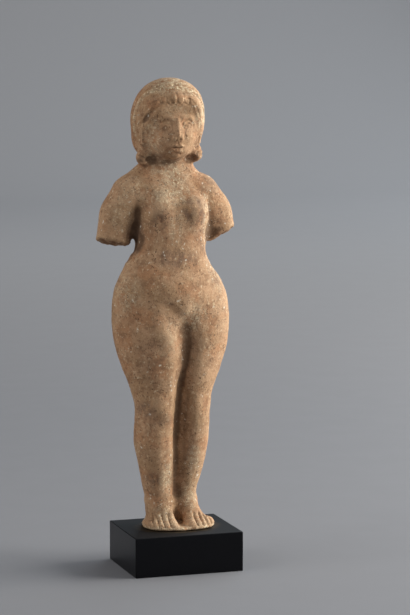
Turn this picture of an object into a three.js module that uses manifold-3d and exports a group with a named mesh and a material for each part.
// A moulded terracotta statuette of a standing woman, the arms broken off above the elbow, on a black block.
// Millimetres. +Z is up, the front faces -Y, and the origin is the centre of the block's underside.
import * as THREE from "three";
import { RoundedBoxGeometry } from "three/addons/geometries/RoundedBoxGeometry.js";
import { mergeVertices } from "three/addons/utils/BufferGeometryUtils.js";
import Module from "manifold-3d";

// Driving sizes
const BLOCK = { width: 56, depth: 47, height: 20, edge: 0.4 };
const SEAT_GAP = 0.3; // between the block's top and the underside of the foot slab
const SLAB = { left: -17.4, right: 19.4, front: -14.4, back: 15, squareness: 2.7, points: 40, thickness: 1.5 };
const FOOT_ROOT = 0.6; // the feet start at this height, inside the slab
const MIDLINE = -3.4; // the neck stands this far to the figure's right of the block's centre
const BUST_MIDLINE = -1.5; // the chest is turned a little, so the middle between the breasts lies here
const HEAD_MIDLINE = -3.3;

// Colours of the fired clay and of the painted block
const CLAY = { color: 0xa98460, roughness: 0.92, metalness: 0 };
const BLACK_PAINT = { color: 0x101012, roughness: 0.45, metalness: 0 };

// Stations up the body: height, centre x, centre y, half width, half depth to the front and to the back.
// Every height is measured from the underside of the foot slab.
const TRUNK = [
  [92, -0.8, 3.0, 14.0, 5.0, 8.0],
  [98, -1.4, 2.5, 24.0, 9.5, 13.0], // below the hips
  [104, -1.9, 2.0, 29.2, 13.0, 15.5], // fullest hips
  [111, -2.2, 2.0, 30.2, 14.8, 15.0], // lower belly
  [119, -2.8, 1.5, 28.9, 15.0, 12.5],
  [127, -3.3, 1.0, 25.6, 13.5, 11.0],
  [135, -3.7, 0.5, 20.5, 12.0, 10.3], // top of the hip bones
  [141, -2.8, 0.5, 18.0, 11.4, 10.3], // waist
  [151, -2.3, 0.8, 18.2, 11.6, 11.6],
  [159, -1.3, 1.2, 18.1, 11.8, 12.6], // chest
  [167, -2.4, 2.3, 20.0, 11.2, 12.3], // armpits
  [173, -4.3, 3.5, 22.2, 10.2, 10.8], // collar bones
  [178, -5.0, 4.0, 18.2, 9.0, 9.6],
  [182, -4.2, 4.2, 14.0, 8.5, 9.0], // foot of the neck
  [186, -3.6, 4.0, 10.2, 8.3, 8.8],
  [194, -3.4, 3.5, 8.8, 8.3, 8.6],
];
const RIGHT_LEG = [
  [7, -7.6, 4.5, 6.0, 7.4, 9.4],
  [14, -7.9, 4.2, 6.4, 7.0, 8.0], // ankle
  [22, -8.8, 3.8, 7.7, 8.0, 8.6],
  [30, -9.2, 3.0, 8.6, 9.2, 10.6],
  [42, -10.5, 2.0, 10.2, 10.2, 12.4], // calf
  [54, -10.8, 1.0, 9.9, 10.8, 11.4],
  [62, -10.9, 0.5, 9.9, 11.4, 10.6], // knee
  [68, -11.6, 0.5, 10.6, 11.8, 11.4],
  [78, -12.6, 1.0, 13.1, 13.3, 13.6],
  [84, -13.3, 1.2, 14.5, 14.2, 14.3],
  [91, -14.0, 1.5, 16.0, 15.3, 15.0], // thigh
  [103, -14.3, 2.0, 17.1, 15.7, 16.0],
  [114, -13.6, 2.0, 14.0, 13.2, 12.0],
];
const LEFT_LEG = [
  [7, 6.6, 6.0, 5.2, 7.0, 9.0],
  [14, 6.2, 6.0, 5.2, 6.8, 8.0],
  [22, 6.8, 5.4, 6.4, 7.8, 8.4],
  [30, 8.1, 4.8, 7.8, 8.8, 10.2],
  [42, 8.8, 4.2, 9.0, 9.8, 11.8],
  [54, 9.0, 3.2, 9.2, 10.4, 11.2],
  [62, 9.1, 2.6, 9.7, 10.8, 10.4],
  [68, 9.5, 2.6, 10.1, 11.2, 11.0],
  [78, 12.7, 2.6, 11.0, 12.4, 13.0],
  [84, 13.9, 2.6, 11.5, 13.2, 13.7],
  [91, 15.2, 2.6, 12.2, 14.0, 14.4],
  [103, 15.5, 2.6, 13.2, 14.8, 15.8],
  [114, 13.0, 2.5, 12.4, 12.8, 12.0],
];
// Both legs came out of one flat mould, so the front of each thigh leans towards the groove between them.
// The lean grows from the height starts to full, and is gone between fades and ends.
const THIGH_LEAN = { right: 3, left: -6, starts: 45, full: 80, fades: 98, ends: 112, axisY: 2, depth: 13.5 };
// Each arm hangs from shoulderX to elbowX, both from the chest's midline, and is broken off on the way.
// The break lies across the arm at breakAt, and rises outwards and forwards by so many degrees.
const ARMS = [
  {
    side: -1,
    shoulderX: 18.6,
    elbowX: 29.5,
    elbowRadius: 8.2,
    breakAt: [-31.6, 6, 143.4],
    breakWidth: 18.6,
    outwardRise: 13,
    forwardRise: 10,
  },
  {
    side: 1,
    shoulderX: 17.2,
    elbowX: 33.2,
    elbowRadius: 7.1,
    breakAt: [26, 6, 145.8],
    breakWidth: 20,
    outwardRise: 30,
    forwardRise: 15,
  },
];
// The toes of each foot run outwards from its inner edge, the big toe first: width, and distance set back
const TOES = [
  { width: 4.2, setBack: 0.0 },
  { width: 3.0, setBack: 0.4 },
  { width: 2.8, setBack: 1.2 },
  { width: 2.5, setBack: 2.4 },
  { width: 2.2, setBack: 4.0 },
];
const TOE_SLOPE = 12;
const FEET = [
  { outwards: -1, innerEdge: -1.9, front: -13.3, ankleX: -7.4, ankleY: 4.5 },
  { outwards: 1, innerEdge: 3.4, front: -13.5, ankleX: 6.2, ankleY: 6 },
];
const STUB = 2.4; // the arm's skin runs this far past the break, and is then cut off flat
const SECTION_POWER = 2.25; // 2 is an ellipse, more is squarer

const { abs, min, max, hypot } = Math;
const { clamp, degToRad, smoothstep } = THREE.MathUtils;
const sides = [-1, 1]; // the figure's right is on the -X side

// Distance fields: negative inside, positive outside, in millimetres

// Two masses run into one another over a seam of this width, as pressed clay does.
function blend(a, b, seam) {
  const h = max(seam - abs(a - b), 0) / seam;
  return min(a, b) - (h * h * seam) / 4;
}

// All masses in the list, blended with one seam width
function fuse(seam, ...masses) {
  return (x, y, z) => masses.reduce((d, mass) => blend(d, mass(x, y, z), seam), 1e3);
}

function ellipsoid([cx, cy, cz], [rx, ry, rz]) {
  return (x, y, z) => {
    const dx = (x - cx) / rx;
    const dy = (y - cy) / ry;
    const dz = (z - cz) / rz;
    const k = hypot(dx, dy, dz);
    return (k * (k - 1)) / max(hypot(dx / rx, dy / ry, dz / rz), 1e-6);
  };
}

// A round bar from a to b whose radius goes from ra to rb
function taper(a, ra, b, rb) {
  const axis = b.map((v, i) => v - a[i]);
  const length2 = axis.reduce((sum, v) => sum + v * v, 0);
  return (x, y, z) => {
    const p = [x - a[0], y - a[1], z - a[2]];
    const t = clamp((p[0] * axis[0] + p[1] * axis[1] + p[2] * axis[2]) / length2, 0, 1);
    return hypot(p[0] - axis[0] * t, p[1] - axis[1] * t, p[2] - axis[2] * t) - (ra + (rb - ra) * t);
  };
}

// A body whose section changes smoothly from station to station
function lofted(stations) {
  const heights = stations.map((s) => s[0]);
  const sections = new THREE.CubicInterpolant(heights, stations.flatMap((s) => s.slice(1)), 5);
  const [low, high] = [heights[0], heights.at(-1)];
  return (x, y, z) => {
    const [cx, cy, half, front, back] = sections.evaluate(clamp(z, low, high));
    const depth = y < cy ? front : back;
    const dx = abs(x - cx) / half;
    const dy = abs(y - cy) / depth;
    const k = (dx ** SECTION_POWER + dy ** SECTION_POWER) ** (1 / SECTION_POWER);
    const side = (k * (k - 1)) / max(hypot(dx / half, dy / depth), 1e-6);
    return max(side, low - z, z - high);
  };
}

// A leg whose thigh leans sideways by so many millimetres at its very front
function leaning(leg, lean) {
  const { starts, full, fades, ends, axisY, depth } = THIGH_LEAN;
  return (x, y, z) => {
    const share = smoothstep(z, starts, full) - smoothstep(z, fades, ends);
    const forward = clamp((axisY - y) / depth, 0, 1);
    return leg(x - lean * share * forward ** 2, y, z);
  };
}

// The masses of the figure

function breastsAndBelly() {
  const breasts = sides.map((s) =>
    ellipsoid([BUST_MIDLINE + 8.1 * s, -6.4 - 0.3 * s, 159.5], [6.4, 6.2, 7.4]),
  );
  const belly = ellipsoid([-2.4, -4.5, 117], [18.5, 11.6, 14.5]);
  return [...breasts, belly];
}

function buttocks() {
  return sides.map((s) => ellipsoid([-1.5 + 12.6 * s, 7.5, 101], [13.2, 12.8, 15.5]));
}

// Turns a level plane into the plane of an arm's broken face.
function breakTurn({ side, outwardRise, forwardRise }) {
  return new THREE.Euler(-degToRad(forwardRise), -side * degToRad(outwardRise), 0, "YXZ");
}

function arm({ shoulderX, elbowX, elbowRadius, breakAt, ...turns }) {
  const at = (x, y, z) => [MIDLINE + x * turns.side, y, z];
  const middle = at(24.6, 5.4, 158.5);
  const shoulder = taper(at(shoulderX, 4.5, 167.2), 10.4, middle, 8.9);
  const upperArm = taper(middle, 8.9, at(elbowX, 6.8, 136), elbowRadius);
  const whole = fuse(3, shoulder, upperArm);
  const down = new THREE.Vector3(0, 0, -1).applyEuler(breakTurn(turns));
  const pastBreak = new THREE.Plane().setFromNormalAndCoplanarPoint(down, new THREE.Vector3(...breakAt));
  return (x, y, z) => max(whole(x, y, z), pastBreak.distanceToPoint(new THREE.Vector3(x, y, z)) - STUB);
}

// The legs are pressed in one mould, so a web of clay joins them behind the groove.
function clayBetweenLegs() {
  const [feet, knees, thighs, crotch] = [[1.2, 5, 4], [-0.6, 4.4, 62], [2.2, 4, 84], [2.6, 4, 100]];
  return fuse(2, taper(feet, 4, knees, 4), taper(knees, 4, thighs, 5.4), taper(thighs, 5.4, crotch, 7));
}

// The middle of each toe's tip, from the big toe outwards
function toeTips({ outwards, innerEdge, front }) {
  let edge = innerEdge;
  return TOES.map(({ width, setBack }) => {
    edge += outwards * width;
    return { width, x: edge - (outwards * width) / 2, y: front + setBack };
  });
}

function foot(sizes) {
  const { ankleX, ankleY } = sizes;
  const tips = toeTips(sizes);
  const middle = tips[2].x;
  const ankle = taper([ankleX, ankleY, 13], 6.0, [ankleX, ankleY + 2.5, 5], 6.2);
  const insteps = [tips[0], tips[2]].map(({ x, y }) =>
    taper([ankleX, ankleY - 3, 11], 4.6, [x, y + 7.5, 3.6], 2.3),
  );
  const sole = ellipsoid([middle, 2, 1], [7.2, 10, 2.2]);
  const balls = tips.map(({ x, y, width }) => ellipsoid([x, y + 6, 2], [width * 0.62, 5.4, 2.3]));
  return fuse(3, ankle, sole, ...insteps, fuse(1.2, ...balls));
}

function head() {
  const at = (y, z) => [HEAD_MIDLINE, y, z];
  const skull = ellipsoid([HEAD_MIDLINE + 0.4, 4, 204.6], [18.5, 17.6, 19.4]);
  const crown = ellipsoid([HEAD_MIDLINE + 1.6, 2.5, 213.2], [15.6, 15.2, 11.3]);
  const face = ellipsoid(at(-3.6, 200.4), [12.8, 12.2, 14.6]);
  const jaw = ellipsoid(at(-4.6, 192), [8.6, 9.6, 6.6]);
  const nose = taper(at(-12.8, 204), 1.9, at(-14.9, 197), 2.8);
  return [fuse(4, skull, crown), fuse(1.6, fuse(5, face, jaw), nose)];
}

// The hair is parted in the middle, swept back over the ears, and ends in a short curl on each side.
function hair() {
  const locks = sides.flatMap((s) => {
    const at = (x, y, z) => [HEAD_MIDLINE + x * s, y, z];
    return [
      taper(at(1.0, -10.6, 214.4), 3.8, at(8.6, -9.4, 211), 4.4),
      taper(at(8.6, -9.4, 211), 4.2, at(12.4, -4.0, 201), 3.8),
      taper(at(12.4, -4.0, 201), 3.8, at(13.2, -1.6, 192), 2.6),
      ellipsoid(at(13.6 - 0.3 * s, -1.8, 186.8 + 0.6 * s), [3.8, 4.6, 4.0]),
    ];
  });
  const back = ellipsoid([HEAD_MIDLINE, 7.5, 195], [16.9, 11.5, 12.5]);
  return [...locks, back];
}

function figure() {
  const upper = fuse(1.6, fuse(5, lofted(TRUNK), ...breastsAndBelly()), ...ARMS.map(arm));
  const [rightFoot, leftFoot] = FEET.map(foot);
  const right = fuse(3, leaning(lofted(RIGHT_LEG), THIGH_LEAN.right), rightFoot);
  const left = fuse(3, leaning(lofted(LEFT_LEG), THIGH_LEAN.left), leftFoot);
  const legs = fuse(1.4, right, left, clayBetweenLegs());
  const seat = fuse(1.8, ...buttocks());
  const crown = fuse(2.2, ...head(), ...hair());
  return (x, y, z) => {
    const body = blend(blend(upper(x, y, z), legs(x, y, z), 2.5), seat(x, y, z), 4);
    return max(blend(body, crown(x, y, z), 2.0), FOOT_ROOT - z);
  };
}

// The skin: a grid that follows the figure's width, with one point in each cell that the surface crosses

const GRID = { columns: 17, rows: 13 };
// Up to this height, the levels of the grid are this far apart.
const LEVEL_STEPS = [
  [20, 1.9],
  [118, 4.8],
  [150, 3.8],
  [181, 3.2],
  [228, 2.1],
];
const GRID_FLOOR = -1;
// Height, centre x, centre y, half width and half depth of the grid
const REACH_STATIONS = [
  [0, 1, 1, 20, 16],
  [8, 0, 1.5, 19, 16.5],
  [18, -2, 3, 17, 15],
  [40, -1, 3, 23, 18],
  [62, -1, 2, 24, 18],
  [100, -2, 2, 35, 23],
  [120, -2, 2, 36, 23],
  [136, -3, 1, 41, 20],
  [146, -3.4, 1, 42, 20],
  [170, -3.4, 1, 38, 20],
  [178, -3.5, 1, 31, 20],
  [186, -3.5, 1.5, 22, 22],
  [228, -3.5, 1.5, 22, 23],
];
const REACH = new THREE.CubicInterpolant(
  REACH_STATIONS.map((s) => s[0]),
  REACH_STATIONS.flatMap((s) => s.slice(1)),
  4,
);

function levels() {
  const heights = [GRID_FLOOR];
  for (const [top, step] of LEVEL_STEPS) {
    while (heights.at(-1) < top) {
      heights.push(heights.at(-1) + step);
    }
  }
  return heights;
}

// The corners of a cell are numbered 0 to 7 by bits: 1 is on the +X side, 2 on the +Y side, 4 on the +Z side.
const CORNERS = [0, 1, 2, 3, 4, 5, 6, 7];
const CELL_EDGES = [1, 2, 4].flatMap((bit) => CORNERS.filter((c) => !(c & bit)).map((c) => [c, c | bit]));
const CELL_FACES = [
  [1, 2, 4],
  [2, 4, 1],
  [4, 1, 2],
].flatMap(([u, v, through]) => [0, through].map((side) => [side, side | u, side | u | v, side | v]));

function edgeBetween(a, b) {
  return CELL_EDGES.findIndex(([low, high]) => low === min(a, b) && high === max(a, b));
}

// The crossed edges of one cell, grouped into the separate sheets of surface that pass through it
function sheetsIn(inside) {
  const sheet = CELL_EDGES.map(([a, b], e) => (inside[a] === inside[b] ? -1 : e));
  const join = (e, f) => {
    const [from, to] = [sheet[e], sheet[f]];
    sheet.forEach((s, i) => {
      sheet[i] = s === from ? to : s;
    });
  };
  for (const face of CELL_FACES) {
    const around = face.map((corner, i) => edgeBetween(corner, face[(i + 1) % 4]));
    const crossed = around.filter((e) => sheet[e] >= 0);
    if (crossed.length === 2) {
      join(...crossed);
    }
    if (crossed.length === 4) {
      const corners = [0, 1, 2, 3].filter((i) => inside[face[i]]);
      corners.forEach((i) => join(around[(i + 3) % 4], around[i]));
    }
  }
  return sheet;
}

// Moves a point on to the surface by the steepest way, but less in a crease, where that way is unsure.
function settle(point, depthAt) {
  const reach = 0.05;
  for (let pass = 0; pass < 2; pass++) {
    const depth = depthAt(...point);
    const slope = new THREE.Vector3(
      depthAt(point.x + reach, point.y, point.z) - depth,
      depthAt(point.x, point.y + reach, point.z) - depth,
      depthAt(point.x, point.y, point.z + reach) - depth,
    ).divideScalar(reach);
    point.addScaledVector(slope, -depth * min(slope.lengthSq(), 1));
  }
}

function skin(depthAt) {
  const heights = levels();
  const perRow = GRID.columns + 1;
  const strides = [1, perRow, perRow * (GRID.rows + 1)];
  const points = heights.flatMap((z) => {
    const [cx, cy, halfX, halfY] = REACH.evaluate(z);
    return Array.from({ length: strides[2] }, (_, n) => {
      const across = (2 * (n % perRow)) / GRID.columns - 1;
      const along = (2 * Math.floor(n / perRow)) / GRID.rows - 1;
      return new THREE.Vector3(cx + halfX * across, cy + halfY * along, z);
    });
  });
  const depths = points.map((p) => depthAt(...p) || 1e-9);
  const bits = (c) => [c & 1, (c >> 1) & 1, c >> 2];
  const offsets = CORNERS.map((c) => bits(c).reduce((sum, bit, axis) => sum + bit * strides[axis], 0));

  const position = [];
  const vertexOf = new Map();
  for (let cell = 0; cell < points.length - offsets[7]; cell++) {
    const sheet = sheetsIn(offsets.map((o) => depths[cell + o] < 0));
    for (const name of new Set(sheet.filter((s) => s >= 0))) {
      const middle = new THREE.Vector3();
      const members = CELL_EDGES.map((_, e) => e).filter((e) => sheet[e] === name);
      for (const e of members) {
        const [a, b] = CELL_EDGES[e].map((c) => cell + offsets[c]);
        middle.add(points[a].clone().lerp(points[b], depths[a] / (depths[a] - depths[b])));
        vertexOf.set(12 * cell + e, position.length / 3);
      }
      middle.divideScalar(members.length);
      settle(middle, depthAt);
      position.push(...middle);
    }
  }

  const index = [];
  points.forEach((_, a) => {
    for (const axis of [0, 1, 2]) {
      const b = a + strides[axis];
      if (b < points.length && depths[a] < 0 !== depths[b] < 0) {
        const [u, v] = [1 << (axis + 1) % 3, 1 << (axis + 2) % 3];
        const quad = [0, u, u | v, v].map((corner) =>
          vertexOf.get(12 * (a - offsets[corner]) + edgeBetween(corner, corner | (1 << axis))),
        );
        if (depths[a] >= 0) {
          quad.reverse();
        }
        index.push(quad[0], quad[1], quad[2], quad[0], quad[2], quad[3]);
      }
    }
  });
  const geometry = new THREE.BufferGeometry();
  geometry.setAttribute("position", new THREE.Float32BufferAttribute(position, 3));
  geometry.setIndex(index);
  return geometry;
}

// Joining and cutting

const wasm = await Module();
wasm.setup();

function solidOf(geometry) {
  const bare = geometry.clone();
  bare.deleteAttribute("normal");
  bare.deleteAttribute("uv");
  const merged = mergeVertices(bare, 1e-4);
  const vertProperties = new Float32Array(merged.attributes.position.array);
  const triVerts = new Uint32Array(merged.index.array);
  return new wasm.Manifold(new wasm.Mesh({ numProp: 3, vertProperties, triVerts }));
}

function geometryOf(solid) {
  const mesh = solid.getMesh();
  const geometry = new THREE.BufferGeometry();
  geometry.setAttribute("position", new THREE.Float32BufferAttribute(mesh.vertProperties, 3));
  geometry.setIndex(new THREE.BufferAttribute(mesh.triVerts, 1));
  geometry.computeVertexNormals();
  return geometry;
}

// An oval with full corners, like a coin pressed towards a square
function footSlab({ left, right, front, back, squareness, points, thickness }) {
  const rounded = (v) => Math.sign(v) * abs(v) ** (2 / squareness);
  const outline = new THREE.Shape(
    Array.from({ length: points }, (_, i) => {
      const turn = (2 * Math.PI * i) / points;
      const across = ((right - left) / 2) * rounded(Math.cos(turn));
      const along = ((back - front) / 2) * rounded(Math.sin(turn));
      return new THREE.Vector2((left + right) / 2 + across, (front + back) / 2 + along);
    }),
  );
  return new THREE.ExtrudeGeometry(outline, { depth: thickness, bevelEnabled: false });
}

function toesOf(sizes) {
  return toeTips(sizes).map(({ width, x, y }) => {
    const length = 6.4 + 0.6 * width;
    const toe = new THREE.SphereGeometry(1, 10, 8);
    toe.scale(width * 0.52, length / 2, 1.1 + width * 0.22);
    toe.rotateX(degToRad(TOE_SLOPE));
    toe.translate(x, y + length / 2, 2.5 + width * 0.12);
    return toe;
  });
}

// The stub below the broken end of one arm
function beyondBreak({ breakWidth, breakAt, ...turns }) {
  const [depth, thickness] = [30, STUB + 1];
  const waste = new THREE.BoxGeometry(breakWidth, depth, thickness);
  waste.translate(0, 0, -thickness / 2);
  waste.applyQuaternion(new THREE.Quaternion().setFromEuler(breakTurn(turns)));
  waste.translate(...breakAt);
  return waste;
}

let statuetteSolid = solidOf(skin(figure())).add(solidOf(footSlab(SLAB)));
for (const toe of FEET.flatMap(toesOf)) {
  statuetteSolid = statuetteSolid.add(solidOf(toe));
}
for (const waste of ARMS.map(beyondBreak)) {
  statuetteSolid = statuetteSolid.subtract(solidOf(waste));
}

const statuette = new THREE.Mesh(geometryOf(statuetteSolid), new THREE.MeshStandardMaterial(CLAY));
statuette.name = "terracotta_statuette";
statuette.position.z = BLOCK.height + SEAT_GAP;

const blockShape = new RoundedBoxGeometry(BLOCK.width, BLOCK.depth, BLOCK.height, 1, BLOCK.edge);
const block = new THREE.Mesh(blockShape, new THREE.MeshStandardMaterial(BLACK_PAINT));
block.name = "black_block";
block.position.z = BLOCK.height / 2;

const model = new THREE.Group();
model.add(statuette, block);
export default model;
